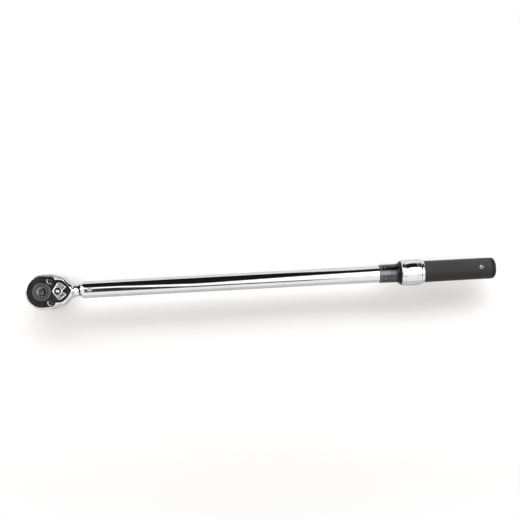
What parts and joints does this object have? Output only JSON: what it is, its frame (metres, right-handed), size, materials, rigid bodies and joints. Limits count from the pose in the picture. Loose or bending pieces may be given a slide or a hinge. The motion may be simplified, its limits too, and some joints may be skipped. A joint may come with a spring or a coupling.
{
  "type": "torque wrench",
  "caption": "Click-type torque wrench: reversible ratchet head with square drive, long chromed tube, graduated thimble, pull-back lock ring and dark grip.",
  "frame": {"origin": "centre of the drive square's end face, on the drive axis", "axes": "+X along the wrench from the drive towards the grip, +Z along the drive axis out of the selector side, +Y completes the right-handed set"},
  "size_m": [0.6296, 0.0468, 0.048],
  "materials": {
    "chrome": "polished",
    "black_plate": "satin black oxide",
    "black_steel": "black oxide",
    "dark_steel": "satin dark steel",
    "bearing_steel": "ground bright",
    "spring_steel": "oiled wire",
    "brass": "machined",
    "rubber": "matte",
    "black_thimble": "satin blue-black with pale numerals",
    "black_grip": "fine matte"
  },
  "bodies": {
    "tube_body": {"tube": "chrome", "pivot_pin": "bearing_steel", "adjusting_nut": "brass"},
    "head": {"head_body": "chrome", "cover_plate": "black_plate", "cover_screws": "black_steel", "selector_detent_ball": "bearing_steel", "selector_detent_spring": "spring_steel"},
    "drive": {"drive_gear": "dark_steel", "drive_o_ring": "rubber", "button_clip": "black_steel"},
    "button": {"release_button": "dark_steel", "release_pin": "bearing_steel", "release_spring": "spring_steel"},
    "socket_ball": {"detent_ball": "bearing_steel"},
    "selector": {"selector_lever": "chrome", "selector_shaft": "bearing_steel", "pawl_plunger": "bearing_steel", "pawl_spring": "spring_steel"},
    "pawl_rocker": {"pawl": "dark_steel"},
    "click_plunger": {"plunger": "dark_steel", "main_spring": "spring_steel"},
    "click_block": {"tilt_block": "dark_steel"},
    "carriage": {"spring_seat": "dark_steel", "spacer_rod": "dark_steel", "thrust_ball": "bearing_steel"},
    "handle": {"thimble": "black_thimble", "handle_tube": "bearing_steel", "lock_balls": "bearing_steel", "lock_collar": "chrome", "grip": "black_grip", "end_plug": "dark_steel", "roll_pin": "bearing_steel", "adjusting_screw": "bearing_steel", "lock_nut": "bearing_steel", "end_cap": "black_grip"},
    "lock": {"lock_ring": "chrome", "lock_spring": "spring_steel"}
  },
  "joints": [
    {"name": "head_click", "type": "hinge", "parent": "tube_body", "child": "head", "pos_m": [0.063, 0, 0.0285], "axis": [0, 0, 1], "range_deg": [0, 1.6], "stiffness_Nm_per_rad": 40, "springref_deg": -2.86},
    {"name": "drive_spin", "type": "hinge", "parent": "head", "child": "drive", "pos_m": [0, 0, 0.0285], "axis": [0, 0, 1], "continuous": true},
    {"name": "button_press", "type": "slide", "parent": "drive", "child": "button", "axis": [0, 0, -1], "range_m": [0, 0.0025], "stiffness_N_per_m": 600, "springref_m": -0.003, "deforming": ["release_spring"]},
    {"name": "ball_retract", "type": "slide", "parent": "drive", "child": "socket_ball", "axis": [1, 0, 0], "range_m": [0, 0.0013]},
    {"name": "selector_turn", "type": "hinge", "parent": "head", "child": "selector", "pos_m": [0.0218, 0, 0.0285], "axis": [0, 0, 1], "range_deg": [-20, 20]},
    {"name": "pawl_rock", "type": "hinge", "parent": "head", "child": "pawl_rocker", "pos_m": [0.0218, 0, 0.0285], "axis": [0, 0, 1], "range_deg": [-5, 5]},
    {"name": "plunger_slide", "type": "slide", "parent": "tube_body", "child": "click_plunger", "axis": [1, 0, 0], "range_m": [0, 0.00145], "deforming": ["main_spring"]},
    {"name": "block_tilt", "type": "hinge", "parent": "click_plunger", "child": "click_block", "pos_m": [0.1374, 0.00275, 0.0285], "axis": [0, 0, -1], "range_deg": [0, 18.2]},
    {"name": "handle_travel", "type": "slide", "parent": "tube_body", "child": "carriage", "axis": [-1, 0, 0], "range_m": [0, 0.044], "deforming": ["main_spring"]},
    {"name": "handle_turn", "type": "hinge", "parent": "carriage", "child": "handle", "pos_m": [0.5, 0, 0.0285], "axis": [-1, 0, 0], "range_deg": [0, 7921]},
    {"name": "lock_pull", "type": "slide", "parent": "handle", "child": "lock", "axis": [1, 0, 0], "range_m": [0, 0.005], "stiffness_N_per_m": 1500, "springref_m": -0.004, "deforming": ["lock_spring"]}
  ],
  "couplings": [
    {"joint": "plunger_slide", "follows": "head_click", "m_per_rad": 0.051566},
    {"joint": "block_tilt", "follows": "head_click", "ratio": 11.344},
    {"joint": "pawl_rock", "follows": "selector_turn", "ratio": 0.25},
    {"joint": "ball_retract", "follows": "button_press", "ratio": 0.52},
    {"joint": "handle_turn", "follows": "handle_travel", "rad_per_m": 3141.6}
  ]
}
